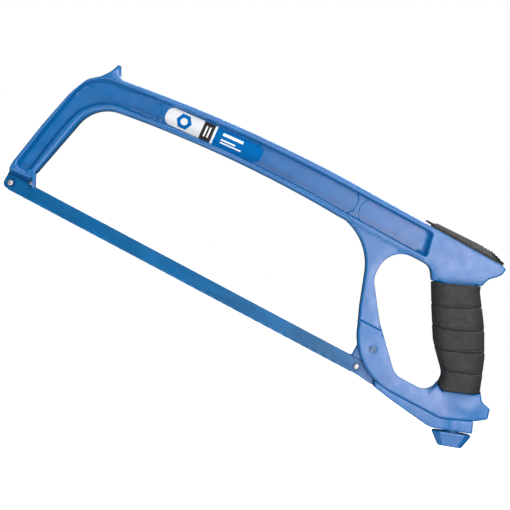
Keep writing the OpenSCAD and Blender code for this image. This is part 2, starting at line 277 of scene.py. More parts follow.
def slab(name, found, faces, sides, material=None):
    """A solid between two copies of a flat mesh, one at each y in sides."""
    count = len(found)
    both = [np.stack([found[:, 0], y, found[:, 1]], 1) for y in sides]
    directed = {(int(f[i]), int(f[(i + 1) % 3])) for f in faces for i in range(3)}
    rim = sorted((i, j) for i, j in directed if (j, i) not in directed)
    walls = [(j, i, i + count, j + count) for i, j in rim]
    solid = faces.tolist() + (faces[:, ::-1] + count).tolist() + walls
    return new_piece(name, np.concatenate(both), solid, material)


def relief(name, outer, holes, lines, heights, edge_rings, grid=2.0, extra=None, material=None, clear=0.04):
    """A solid whose near and far faces are height fields over one outline. lines are (loop, offsets) details
    on the faces; heights gives the near and the far y for an array of [x, z] points."""
    bounds_loops = [outer] + holes
    scattered = [rings(outer, edge_rings)] + [rings(hole, [-r for r in edge_rings[:3]]) for hole in holes]
    scattered += [rings(loop, offsets) for loop, offsets in lines]
    if extra is not None:
        scattered.append(extra)
    low, high = outer.min(0), outer.max(0)
    x, z = np.meshgrid(np.arange(low[0], high[0], grid), np.arange(low[1], high[1], grid * 0.87))
    x[1::2] += grid / 2
    cells = np.stack([x.ravel(), z.ravel()], 1)
    room = np.ones(len(cells), bool)
    for loop in bounds_loops:
        room &= np.abs(inside_by(cells, loop)) > edge_rings[-1] + 0.4 * grid
    for loop, offsets in lines:
        d = inside_by(cells, loop)
        room &= (d < min(offsets + [0]) - 0.4 * grid) | (d > max(offsets + [0]) + 0.4 * grid)
    scattered.append(cells[room])
    scattered = np.concatenate(scattered)

    def on_face(p, gap):
        keep = inside_by(p, outer) > gap
        for hole in holes:
            keep &= inside_by(p, hole) < -gap
        return keep

    loops = bounds_loops + [loop for loop, _ in lines]
    found, faces = triangulated(loops, [scattered[on_face(scattered, clear)]], lambda p: on_face(p, 0))
    return slab(name, found, faces, heights(found), material)


def cut_out(piece, cutter):
    """Takes the cutter's solid out of a piece, and removes the cutter."""
    change = piece.modifiers.new("cut", "BOOLEAN")
    change.operation = "DIFFERENCE"
    change.solver = "EXACT"
    change.object = cutter
    bpy.context.view_layer.update()
    result = bpy.data.meshes.new_from_object(piece.evaluated_get(bpy.context.evaluated_depsgraph_get()))
    piece.modifiers.clear()
    piece.data = result
    result.name = piece.name
    result.shade_smooth()
    result.set_sharp_from_angle(angle=math.radians(SHARP))
    bpy.data.objects.remove(cutter)


def tube(rows, around, flip=False):
    """Faces of a solid over rings of points, anticlockwise as seen from the last ring, or else flipped."""
    faces = [list(range(around))[::-1], list(range((rows - 1) * around, rows * around))]
    for start in range(0, (rows - 1) * around, around):
        for i in range(around):
            j = (i + 1) % around
            faces.append([start + i, start + j, start + j + around, start + i + around])
    return [face[:1] + face[:0:-1] for face in faces] if flip else faces


def prism(name, loop, y0, y1):
    points = [(x, y, z) for y in (y0, y1) for x, z in loop]
    return new_piece(name, points, tube(2, len(loop), True))


# ---- casting ----

SLICE = 5.6            # a plane outside the slot and the screw bore, inside every flange
SLOT_SLICE = 5.1
WEB = 2.5              # half thicknesses: in a sunken panel, and between two panels
RIB = 3.1
BAR_HALF = 9.0
GUARD_HALF = 8.5
CHEEK_HALF = 10.0
CORE_HALF = 8.0
SLOT_HALF = 5.3
SEAT_FAR = 6.0
SEAT_REAR = 12.6       # the flat seat for the blade ends here
ARM_END_Z = 7.0
ARM_END_SLOPE = 0.06
EDGE_R = 1.35
CROWN_WIDTH = 4.0
CROWN_DEPTH = 2.3
BAY_CROWN_DEPTH = 2.7   # the crown on the side of the blade bay
BAY_MIDDLE = (150.0, 45.0)
BORE_EDGE_R = 0.35
PIVOT_BORE_R = 2.95
SCREW_BORE_R = 5
SCREW_BORE = (4, 47)
PANEL_END_R = 9.0
PANEL_END_STRETCH = 1.16

# Where the thickness changes, each pair from the start to the end of a change, and by how much
GUARD_TOP = (96.1, 94.7)
GUARD_FRONT = (236, 244)
GUARD_REAR = (302, 296)
CHEEK_TOP = (32.9, 32.3)
CHEEK_FRONT = (270, 280)
HORN_FOOT = (108.5, 118.5)
HORN_REAR = (44, 38)
HORN_TAPER = 4.5
POMMEL_END = (391, 410)
POMMEL_TOP = (36, 28)
POMMEL_TAPER = 1.3
SWELL_AT = (388, 13)   # the pommel is a little fuller here
SWELL_SIZE = (11, 7)
POMMEL_SWELL = 0.8
CHEEK_GROOVE_Z = 33.15
CHEEK_GROOVE_WIDTH = 0.3
CHEEK_GROOVE_DEPTH = 0.45
GRIP_STEP = 1.2        # thinner next to the grip, less and less over this distance
GRIP_STEP_REACH = 5.0
ARM_START = (78, 50)   # the recess has other walls in the arm and at its rear end
BAR_END = (303.5, 300)

# Cast walls: radius at the top, radius of the fillet below, draft in degrees
BAR_WALL = (0.7, 0.8, 8)
REAR_WALL = (0.5, 2.2, 24)
ARM_WALL = (2.0, 0.6, 20)
SEAT_WALL_NEAR = (2.6, 0.4, 6)
SEAT_WALL_FAR = (0.8, 0.8, 10)

# Sunken panels in the recess: where each one starts and ends, as [x, height of the middle there]
PANELS = [(None, (76.5, 99.8)), ((77.6, 100.3), (242.7, 109.6)), ((245.9, 109.4), None)]

casting_cut = cut_loops("frame_casting", SLICE)
silhouette = fine(casting_cut[0])
inner = [fine(loop) for loop in casting_cut[1:] if abs(area(loop)) > 20]


def loop_at(loops, x, z):
    """The loop with the point [x, z] inside it that has the smallest area."""
    at = np.array([[x, z]])
    holding = [loop for loop in loops if inside_by(at, loop)[0] > 0]
    return min(holding, key=lambda loop: abs(area(loop)))


RECESS_AT = (150.0, 105.0)
OPENING_AT = (310.0, 60.0)
PIVOT_AT = (305.2, 17.5)
recess = loop_at(inner, *RECESS_AT)
opening = loop_at(inner, *OPENING_AT)
pivot_bore = circle(PIVOT_AT, PIVOT_BORE_R)

# The tail's underside is hollowed between its tip and the grip
TAIL_HOLLOW_AT = (360.6, 106.0)
TAIL_HOLLOW = 1.3
TAIL_HOLLOW_R = 4.5
hollow = TAIL_HOLLOW * np.exp(-(np.linalg.norm(silhouette - TAIL_HOLLOW_AT, axis=1) / TAIL_HOLLOW_R)**2)
silhouette = silhouette + inward(silhouette) * hollow[:, None]

# The outline on the side of the blade bay: a small step towards the bay leaves the casting there
to_bay = silhouette + 3 * unit(np.array(BAY_MIDDLE) - silhouette)
by_bar = (silhouette[:, 0] < 300) & (silhouette[:, 1] > 7)
bay_line = silhouette[(inside_by(to_bay, silhouette) < 0) & by_bar]

# ---- the grip's outline ----

GRIP_LEAN = 28.0
GRIP_OUT = turned(GRIP_LEAN)          # across the grip, from its front edge to its back
GRIP_UP = turned(GRIP_LEAN + 90)      # along the grip, upwards


def extreme(loop, out, up):
    """Index of the loop's point that is furthest in a direction given in the grip's own axes."""
    return int(np.argmax(loop @ (out * GRIP_OUT + up * GRIP_UP)))


def walk(loop, start, end, side):
    """The loop's points from one index to another, on the front (-1) or the back (1) side."""
    ways = []
    for step in (1, -1):
        i, path = start, [start]
        while i != end:
            i = (i + step) % len(loop)
            path.append(i)
        ways.append(loop[path])
    return max(ways, key=lambda way: side * (way @ GRIP_OUT).mean())


def at_share(path, share):
    """Points at a share of a path's length."""
    run = np.concatenate([[0], np.cumsum(np.linalg.norm(np.diff(path, axis=0), axis=1))])
    at = np.asarray(share, float) * run[-1]
    return np.stack([np.interp(at, run, path[:, 0]), np.interp(at, run, path[:, 1])], -1)


def grip_edges():
    """The sleeve's front edge, back edge, foot and head. Its middle plane cuts it into two strips."""
    strips = [fine(loop, 0.5) for loop in cut_loops("grip_sleeve", 0.5)[:2]]
    strips.sort(key=lambda loop: (loop @ GRIP_OUT).mean())
    edges, feet, heads = [], [], []
    for strip, side in zip(strips, (-1, 1)):
        foot, head = extreme(strip, 1.3 * side, -1), extreme(strip, 0.7 * side, 1)
        edges.append(walk(strip, foot, head, side))
        feet.append([strip[foot], strip[extreme(strip, -side, -1)]][::-side])
        heads.append([strip[head], strip[extreme(strip, -side, 1)]][::-side])
    return edges[0], edges[1], np.concatenate(feet), np.concatenate(heads)


grip_front, grip_back, grip_foot, grip_head = grip_edges()


def grip_spot(share, rise):
    """The [x, z] point at a share of the grip's width from its front and at a share of its length."""
    share, rise = np.broadcast_arrays(np.asarray(share, float), np.asarray(rise, float))
    s, t = share[..., None], rise[..., None]
    sides = (1 - s) * at_share(grip_front, rise) + s * at_share(grip_back, rise)
    ends = (1 - t) * at_share(grip_foot, share) + t * at_share(grip_head, share)
    corners = ((1 - t) * ((1 - s) * grip_foot[0] + s * grip_foot[-1])
               + t * ((1 - s) * grip_head[0] + s * grip_head[-1]))
    return sides + ends - corners


line = np.linspace(0, 1, 60)[:-1]
grip_line = np.concatenate([grip_spot(line, 0), grip_spot(1, line),
                            grip_spot(1 - line, 1), grip_spot(0, 1 - line)])


# ---- the casting's faces ----

FAR_AWAY = 50.0


def arm_end_at(x):
    """Height of the arm's lower end, where the seat for the blade starts."""
    return ARM_END_Z + (x + BLADE_FRONT) * ARM_END_SLOPE


def arm_end(p):
    """Distance below the arm's lower end, over the seat."""
    return np.where(p[:, 0] < SEAT_REAR, arm_end_at(p[:, 0]) - p[:, 1], -FAR_AWAY)


def panel_by(p):
    """How far inside the nearest sunken panel a point is."""
    found = np.full(len(p), -FAR_AWAY)
    for ends in PANELS:
        within = np.full(len(p), FAR_AWAY)
        for end, front in zip(ends, (-1, 1)):
            if end:
                u = np.maximum((p[:, 0] - end[0]) * front + PANEL_END_R, 0)
                v = np.where(u > 0, p[:, 1] - end[1], 0) / PANEL_END_STRETCH
                within = np.minimum(within, PANEL_END_R - np.hypot(u, v))
        found = np.maximum(found, within)
    return found


def casting_height(p):
    """Half the casting's thickness at each [x, z] point, before its outer edges are rounded."""
    x, z = p[:, 0], p[:, 1]
    guard = smooth(*GUARD_TOP, z) * smooth(*GUARD_FRONT, x) * smooth(*GUARD_REAR, np.where(z > 88, x, 290))
    half = BAR_HALF + (GUARD_HALF - BAR_HALF) * guard
    behind = smooth(*CHEEK_FRONT, x)
    cheeks = smooth(*CHEEK_TOP, z) * behind
    half = half + (CHEEK_HALF - half) * cheeks
    half = half - CHEEK_GROOVE_DEPTH * np.exp(-((z - CHEEK_GROOVE_Z) / CHEEK_GROOVE_WIDTH)**2) * behind
    grip_by = inside_by(p, grip_line)
    half = half - GRIP_STEP * np.exp(-np.maximum(-grip_by, 0) / GRIP_STEP_REACH) * (x > 300)
    swell_x, swell_z = (x - SWELL_AT[0]) / SWELL_SIZE[0], (z - SWELL_AT[1]) / SWELL_SIZE[1]
    half = half + POMMEL_SWELL * np.exp(-swell_x**2 - swell_z**2)
    half = half - POMMEL_TAPER * smooth(*POMMEL_END, x) * smooth(*POMMEL_TOP, z)
    horn = smooth(*HORN_FOOT, z) * smooth(*HORN_REAR, x)
    half = half - HORN_TAPER * horn
    half = np.where(grip_by > 0, np.minimum(half, CORE_HALF), half)
    recess_by = inside_by(p, recess)
    arm = smooth(*ARM_START, x)
    bar = smooth(*BAR_END, x)
    deep = BAR_HALF - WEB
    fall = wall_fall(recess_by, *BAR_WALL, deep) * bar + wall_fall(recess_by, *REAR_WALL, deep) * (1 - bar)
    fall = arm * wall_fall(recess_by, *ARM_WALL, deep) + (1 - arm) * fall
    floor = RIB + (WEB - RIB) * smooth(-0.3, 0.3, panel_by(p))
    return half + (floor - half) * fall


def silhouette_drop(p):
    """Rounding of the outer edges: a plain radius, and a wider low crown along the bar and the front arm."""
    x, z = p[:, 0], p[:, 1]
    edge = np.minimum(inside_by(p, silhouette), -inside_by(p, opening))
    on_bar = smooth(92, 97, z) * smooth(308, 290, x)
    on_arm = smooth(90, 70, x) * np.maximum(smooth(8, 18, z), smooth(16, 24, x))
    crown = np.maximum(on_bar, on_arm)
    width = EDGE_R + (CROWN_WIDTH - EDGE_R) * crown
    by_bay = smooth(6.0, 4.5, np.abs(inside_by(p, bay_line)))
    full = CROWN_DEPTH + (BAY_CROWN_DEPTH - CROWN_DEPTH) * by_bay
    depth = EDGE_R + (full - EDGE_R) * crown * smooth(20, 60, x + 0.5 * z)
    return edge_drop(edge / width, 1.0) * depth


def casting_faces(p):
    half = casting_height(p)
    drop = silhouette_drop(p) + edge_drop(-inside_by(p, pivot_bore), BORE_EDGE_R)
    near = (half - drop) * (1 - wall_fall(arm_end(p) + 1.5, *SEAT_WALL_NEAR, BAR_HALF))
    far = half + (SEAT_FAR - half) * wall_fall(arm_end(p), *SEAT_WALL_FAR, BAR_HALF - SEAT_FAR) - drop
    return -near, far


EDGE_RINGS = [0.06, 0.22, 0.5, 0.9, 1.4, 2.0, 2.6, 3.3]
RECESS_RINGS = [-1.6, -0.9, -0.5, -0.2, 0.35, 0.75, 1.2, 1.7, 2.3, 3.0, 3.8, 4.7]
GRIP_RINGS = [-6.0, -4.0, -2.4, -1.2, -0.5, 0.12]


def level_lines(x0, x1, levels, spacing=1.2, base_at=np.zeros_like):
    """Rows of points from x0 to x1, one row at each level above the line z = base_at(x)."""
    x = np.arange(x0, x1, spacing)
    return [np.stack([x, base_at(x) + level], 1) for level in levels]


def build_casting(material, seat_shade_material):
    extra = [rings(grip_line, GRIP_RINGS)]
    for ends in PANELS:
        for end, front in zip(ends, (-1, 1)):
            for r in (PANEL_END_R - 0.3, PANEL_END_R, PANEL_END_R + 0.3):
                a = np.radians(np.linspace(-88, 88, 34))
                if end:
                    extra.append(np.stack([end[0] - front * (PANEL_END_R - r * np.cos(a)),
                                           end[1] + r * np.sin(a) * PANEL_END_STRETCH], 1))
    seat_levels = (-2, -1.5, -1, -0.5, -0.15, 0.15, 0.5, 0.9, 1.3, 1.8, 2.4)
    extra += level_lines(-BLADE_FRONT, 12.5, seat_levels, 0.7, arm_end_at)
    extra += level_lines(236, 305, 95.4 + np.arange(-0.5, 0.75, 0.25))
    extra += level_lines(283, 312, 32.6 + np.arange(-1.5, 2.2, 0.25), 0.5)
    piece = relief("casting", silhouette, [opening, pivot_bore], [(recess, RECESS_RINGS)], casting_faces,
                   EDGE_RINGS, grid=2.2, extra=np.concatenate(extra), material=material)
    slot = cut_loops("frame_casting", SLOT_SLICE)[0]
    apart = np.abs(inside_by(slot, silhouette)) > 0.05
    first = next(i for i in range(len(slot)) if apart[i] and not apart[i - 1])
    edge = [slot[(first - 1 + i) % len(slot)] for i in range(int(apart.sum()) + 2)]
    if edge[0][0] < edge[-1][0]:
        edge = edge[::-1]
    back, front = edge[0], edge[-1]
    low = min(back[1], front[1]) - 8
    outside = [(front[0] - 12, front[1]), (front[0] - 12, low), (back[0] + 2, low)]
    cut_out(piece, prism("slot_cutter", fine(np.array(edge + outside), 2.0), -SLOT_HALF, SLOT_HALF))
    cut_out(piece, plug("bore_cutter", SCREW_BORE_R, *SCREW_BORE, 40))
    # Painted shade: the seat's faces beside the blade get a darker, duller copy of the paint, for the shadow
    # behind the blade and under the arm
    piece.data.materials.append(seat_shade_material)
    for polygon in piece.data.polygons:
        x, y, z = np.array(polygon.center) / MM - HOLE
        if x < SEAT_REAR and z < arm_end_at(x) + 0.5 and abs(y) < 1.5:
            polygon.material_index = 1
    return piece


def outward(piece):
    """The same piece with its faces turned to look out of it."""
    mesh = bmesh.new()
    mesh.from_mesh(piece.data)
    if mesh.calc_volume(signed=True) < 0:
        bmesh.ops.reverse_faces(mesh, faces=mesh.faces)
        mesh.to_mesh(piece.data)
    mesh.free()
    return piece


# Slanted tab in front of the blade's upper edge, on the near side
TAB = [(7.0, 15.5), (13.2, 16.6), (18.3, 6.4), (18.0, 4.5), (17.0, 3.9), (15.5, 4.7), (12.7, 11.2),
       (7.0, 12.0)]
TAB_NEAR = 8.9
TAB_BACK = 3.2
TAB_EDGE_R = 0.8
TAB_TAPER = 1.6        # thinner towards its lower end


def build_tab(material):
    loop = fine(np.array(TAB), 0.5, 20)

    def faces(p):
        drop = edge_drop(inside_by(p, loop), TAB_EDGE_R)
        taper = TAB_TAPER * smooth(10, 4, p[:, 1])
        return -(TAB_NEAR - taper - drop), -(TAB_BACK + drop * 0.5)

    return outward(relief("tab", loop, [], [], faces, [0.06, 0.2, 0.4, 0.65, 0.85], 1.2, material=material))


# ---- round parts ----

joints = {joint["name"]: joint for joint in frame["joints"]}
KNOB_AT = np.array(joints["knob_turn"]["pos_m"]) / MM - HOLE
SCREW_UP = -np.array(joints["knob_turn"]["axis"], float)
SCREW_SIDE = np.array([SCREW_UP[2], 0.0, -SCREW_UP[0]])


def on_screw(points):
    """From the screw's own axes (origin at the top of the knob, +Z into the handle)."""
    points = np.asarray(points, float)
    return (KNOB_AT + points[..., :1] * SCREW_SIDE + points[..., 1:2] * np.array([0.0, 1.0, 0.0])
            + points[..., 2:] * SCREW_UP)


def across(x, z):
    """From the axes of a pin that stands across the saw at [x, z]: its length runs towards the far side."""
    def put(points):
        points = np.asarray(points, float)
        return np.stack([points[..., 0] + x, points[..., 2], points[..., 1] + z], -1)
    return put


def spun(name, profile, put, count=48, material=None):
    """A closed solid of revolution. profile is [radius, height] from the axis' lower end to its upper."""
    points, faces, rows = [], [], []
    for r, h in profile:
        if r == 0:
            rows.append([len(points)] * count)
            points.append((0, 0, h))
        else:
            rows.append(list(range(len(points), len(points) + count)))
            points += [(r * math.cos(a), r * math.sin(a), h) for a in np.arange(count) * 2 * math.pi / count]
    for lower, upper in zip(rows, rows[1:]):
        for i in range(count):
            j = (i + 1) % count
            face = [lower[i], lower[j], upper[j], upper[i]]
            face = [v for k, v in enumerate(face) if v != face[k - 1]]
            faces.append(face)
    return outward(new_piece(name, put(np.array(points, float)), faces, material, 35))


def plug(name, r, low, high, count):
    """A cylinder on the screw's axis, to cut with."""
    return spun(name, [(0, low), (r, low), (r, high), (0, high)], on_screw, count)


DOME_PARTS = 6


def dome(r, base, rise):
    """Profile of a low dome of radius r over a pin's end."""
    angles = np.linspace(0, math.pi / 2, DOME_PARTS)[:-1]
    return [(r * math.cos(a), base + rise * math.sin(a)) for a in angles] + [(0, base + rise)]


def pin_profile(r, near, far, near_rise, far_rise):
    lower = [(x, near - (y - near)) for x, y in dome(r, near, near_rise)][::-1]
    return lower + dome(r, far, far_rise)


def build_pivot_pin(material):
    low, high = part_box("pivot_pin")
    half = high.y / MM
    r = (high.x - low.x) / 2 / MM
    end = [(0, half - 0.55), (0.9, half - 0.5), (1.5, half - 0.3), (1.85, half - 0.05), (2.1, half + 0.02),
           (r - 0.35, half), (r - 0.08, half - 0.15), (r, half - 0.4)]
    profile = [(x, -y) for x, y in end] + end[::-1]
    return spun("pivot", profile, across(*PIVOT_AT), 56, material)


PEG_HEAD_R = 2.2


def build_peg(name, node, near_rise, material, head=None):
    low, high = (np.array(p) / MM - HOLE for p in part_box(node))
    x, z = (low[0] + high[0]) / 2, (low[2] + high[2]) / 2
    r = (high[0] - low[0]) / 2
    profile = pin_profile(r, low[1] + near_rise, high[1] - 0.1, near_rise, 0.1)
    if head:
        neck = low[1] + near_rise + 0.7
        profile = pin_profile(head, low[1] + near_rise, neck, near_rise, 0)[:-DOME_PARTS]
        profile += [(head, neck), (r, neck)] + dome(r, high[1] - 0.1, 0.1)
    return spun(name, profile, across(x, z), 40, material)


SCREW_R = 3.0
THREAD_PITCH = 1.0
THREAD_DEPTH = 0.55
SCREW_FROM = -9.0
THREAD_FROM = 3.0
SCREW_TO = 42.0


def build_screw(material):
    """The tension screw, with a real helical thread above its plain neck."""
    around, per_turn = 28, 8
    heights = list(np.linspace(SCREW_FROM, THREAD_FROM, 5)[:-1])
    heights += list(np.arange(THREAD_FROM, SCREW_TO - 0.6, THREAD_PITCH / per_turn))
    heights += [SCREW_TO - 0.5, SCREW_TO]
    points = []
    for h in heights:
        for k in range(around):
            a = 2 * math.pi * k / around
            phase = (h / THREAD_PITCH - k / around) % 1
            cut = THREAD_DEPTH * min(1, max(0, 1.25 - abs(2 * phase - 1) * 1.9))
            cut *= min(1, max(0, (h - THREAD_FROM) / 1.5))
            r = SCREW_R - cut
            if h > SCREW_TO - 0.1:
                r = SCREW_R - 0.8
            points.append((r * math.cos(a), r * math.sin(a), h))
    return new_piece("screw", on_screw(points), tube(len(heights), around), material, 60)


# ---- blade ----

BLADE_NEAR = -0.70
BLADE_FAR = -0.05
SET_REACH = 0.22
SET_WAVE = 8.5


def blade_faces(p):
    """The blade's teeth stand in a gentle wave, so that the cut is wider than the blade."""
    x, z = p[:, 0], p[:, 1]
    sway = SET_REACH * np.sin(2 * math.pi * x / SET_WAVE) * smooth(-4.2, -5.4, z)
    sway = sway * smooth(14, 20, x) * smooth(290, 284, x)
    lean = edge_drop(np.minimum(6 - z, 1), 0.12)
    return BLADE_NEAR + sway + lean, BLADE_FAR + sway - lean


def build_blade(material):
    loops = cut_loops("blade", -0.4)
    outer = loops[0] if area(loops[0]) > 0 else loops[0][::-1]
    holes = [circle(loop.mean(0), 2.7, 36) for loop in loops[1:3]]
    extra = []
    for z, spacing in ((-5.0, 0.6), (-4.6, 0.7), (-4.1, 0.9)):
        extra += level_lines(-1, 299, [z], spacing)
    extra += level_lines(-2, 300, [5.88], 2.0)
    return relief("saw_blade", outer, holes, [], blade_faces, [0.12, 0.3, 0.6], grid=3.2,
                  extra=np.concatenate(extra), material=material, clear=0.06)


# ---- lever ----

LEVER_SLICE = 4.0
WIDE_SLICE = 8.0
TONGUE_HALF = 4.4
LEVER_EDGE_R = 1.1
LEVER_BORE_R = 4.2
BOSS_SWELL = 0.6       # the lever is wider round the screw
BOSS_REACH = 4.5
SCREW_SLOT_REACH = 4.4
SCREW_SLOT_HALF = 3.5
BOW_CLOSER = 0.57      # at full tension the lever all but touches the bow


def closer(loop):
    """The lever's outline, with the side that lies along the bow moved nearer to it."""
    gap = -inside_by(loop, silhouette)
    along_bow = (gap > 0) & (gap < 1.0)
    push = BOW_CLOSER * along_bow * smooth(316, 326, loop[:, 0])
    return loop - inward(loop) * push[:, None]


def build_lever(material):
    outer = fine(cut_loops("tension_lever", LEVER_SLICE)[0])
    wide = fine(cut_loops("tension_lever", WIDE_SLICE)[0])
    near_part = fine(cut_loops("tension_lever", -2.0)[0])
    outer, wide, near_part = closer(outer), closer(wide), closer(near_part)
    bush = circle(PIVOT_AT, LEVER_BORE_R, 44)

    def faces(p):
        rim = inside_by(p, outer)
        wide_by = inside_by(p, wide)
        drop = edge_drop(rim, 0.5)
        tongue = TONGUE_HALF - drop
        from_screw = (p - KNOB_AT[[0, 2]]) @ SCREW_SIDE[[0, 2]]
        boss = BOSS_SWELL * np.exp(-(from_screw / BOSS_REACH)**2)
        broad = CHEEK_HALF - edge_drop(wide_by, LEVER_EDGE_R) + boss
        step = smooth(-0.14, 0.0, wide_by)
        far = tongue + (broad - tongue) * step
        near = np.where(inside_by(p, near_part) > -0.03, tongue, drop * 0.4)
        near = near + (broad - near) * step
        return -near, far

    piece = relief("lever", outer, [bush], [(wide, [-0.14, 0.07, 0.25, 0.5, 0.8, 1.15]),
                                           (near_part, [-0.08, 0.4])],
                   faces, [0.05, 0.2, 0.5, 1.0], grid=2.4, material=material, clear=0.03)
    outline = []
    for centre, start in ((SCREW_SLOT_REACH, -90), (0, 90)):
        for a in np.radians(np.linspace(start, start + 180, 20)):
            outline.append((centre + SCREW_SLOT_HALF * math.cos(a), SCREW_SLOT_HALF * math.sin(a)))
    points = on_screw([(x, y, h) for h in (-5, 20) for x, y in outline])
    cut_out(piece, new_piece("lever_cutter", points, tube(2, len(outline))))
    return piece


# ---- knob ----

POCKET_R = 8.6         # the saddle's washer turns in a pocket in the top of the knob
POCKET = (-2.65, 3)


def build_knob(material):
    """Tapered knob with its four corners cut off, all edges rounded."""
    half_x, half_y, foot_x, foot_y, height, corner = 15.0, 10.0, 9.1, 7.0, 11.1, 5.2
    levels = [(0.0, 0.965), (-1.3, 1.0), (-height, 0.0)]
    points = []
    for z, share in levels:
        if share > 0:
            sx, sy, c = half_x * share, half_y * share, corner * share
        else:
            sx, sy, c = foot_x, foot_y, corner * 0.62
        points += [(sx, -sy + c, z), (sx, sy - c, z), (sx - c, sy, z), (-sx + c, sy, z),
                   (-sx, sy - c, z), (-sx, -sy + c, z), (-sx + c, -sy, z), (sx - c, -sy, z)]
    piece = new_piece("knob", on_screw(points), tube(len(levels), 8, True), material, 25)
    cut_out(piece, plug("pocket_cutter", POCKET_R, *POCKET, 48))
    soften(piece, 0.7, 3, 28)
    return piece


def soften(piece, width, segments, angle):
    """Rounded edges where faces meet at more than an angle."""
    bevel = piece.modifiers.new("soften", "BEVEL")
    bevel.width = width * MM
    bevel.segments = segments
    bevel.limit_method = "ANGLE"
    bevel.angle_limit = math.radians(angle)
    bevel.harden_normals = True
    return bevel


# ---- grip ----

GRIP_HALF = 15.0
GRIP_ENDS_HALF = 13.0
GRIP_LENGTH = 80.0
GRIP_END_R = 1.0
GROOVES = [0.19, 0.385, 0.585, 0.79]
GROOVE_WIDTH = 0.5
GROOVE_DEPTH = 1.0
SWELL = 0.22


def build_grip(material):
    """Oval rubber grip with finger grooves, lofted between the edges of its CAD outline."""
    rows, around = 320, 104
    angle = np.arange(around) * 2 * math.pi / around
    power = 2 / 2.9
    u = -np.sign(np.cos(angle)) * np.abs(np.cos(angle))**power
    v = np.sign(np.sin(angle)) * np.abs(np.sin(angle))**power
    points = []
    for rise in np.linspace(0, 1, rows):
        rim = grip_spot((u + 1) / 2, rise)
        middle = grip_spot(0.5, rise)
        half = GRIP_ENDS_HALF + (GRIP_HALF - GRIP_ENDS_HALF) * math.sin(math.pi * rise)**0.7
        dent = np.zeros(around)
        for k, groove in enumerate(GROOVES):
            d = (rise - groove) * GRIP_LENGTH + 0.45 * np.sin(u * 2.2 + 0.7 * k)
            split = 0.35 + 1.5 * np.abs(np.sin(u * 1.6 + 0.5 * k))
            dent += GROOVE_DEPTH * np.exp(-(d / GROOVE_WIDTH)**2)
            dent += 0.5 * GROOVE_DEPTH * np.exp(-((d - split) / GROOVE_WIDTH)**2)
            dent -= SWELL * np.exp(-((d + 3.2) / 2.8)**2)
        dent *= 1 - 0.6 * np.abs(u)**6
        dent += edge_drop(min(rise, 1 - rise) * GRIP_LENGTH, GRIP_END_R)
        wide = np.linalg.norm(grip_spot(1, rise) - grip_spot(0, rise)) / 2
        spot = middle + (rim - middle) * (1 - dent / wide)[:, None]
        points.append(np.stack([spot[:, 0], v * (half - dent), spot[:, 1]], 1))
    return outward(new_piece("grip", np.concatenate(points), tube(rows, around, True), material, 55))


# ---- thumb pad ----

PAD_HALF = 7.6
PAD_EDGE_R = 1.0
RIBS_FROM = 343.5
RIBS_TO = 361.5
RIB_PITCH = 2.6
RIB_DEPTH = 0.7
PAD_TOP = 122.9        # everything above this is the pad's upper side
PAD_FOOT_DEPTH = 1.6   # rebate along the foot of the pad's sides
# Painted shade between the ribs: where it starts along the pad's top, and how far it leans per millimetre
# down
RIB_SHADE_FROM = 347.5
RIB_SHADE_SLOPE = 1.9


def build_pad(material, rib_shade_material):
    loop = fine(cut_loops("thumb_pad", 5.0)[0], 0.35)
    ribbed = (loop[:, 1] > PAD_TOP) & (loop[:, 0] > RIBS_FROM) & (loop[:, 0] < RIBS_TO)
    phase = ((loop[:, 0] - RIBS_FROM) / RIB_PITCH) % 1
    loop[:, 1] -= np.where(ribbed, RIB_DEPTH * smooth(0.0, 0.25, phase) * smooth(1.0, 0.3, phase), 0)

    def faces(p):
        half = PAD_HALF - edge_drop(inside_by(p, loop), PAD_EDGE_R) * 0.9
        half = half - PAD_FOOT_DEPTH * smooth(1.3, 1.0, -inside_by(p, silhouette))
        return -half, half

    piece = relief("pad", loop, [], [], faces, [0.08, 0.25, 0.5, 0.8, 1.05, 1.3], 1.5, material=material)
    # Painted shade: the ribbed end of the pad gets a darker, less glossy rubber for the deep shadow between
    # the ribs
    piece.data.materials.append(rib_shade_material)
    rib_top = loop[np.abs(loop[:, 0] - RIBS_FROM) < 2, 1].max()
    for polygon in piece.data.polygons:
        x, _, z = np.array(polygon.center) / MM - HOLE
        polygon.material_index = int(x > RIB_SHADE_FROM + RIB_SHADE_SLOPE * (rib_top - z))
    return piece


# ---- badge ----

BADGE_NEAR = -2.8
BADGE_FAR = -2.5
BADGE_LEAN = 3.94
BADGE_START = (79.8, 103.0)   # the middle of the label's front end


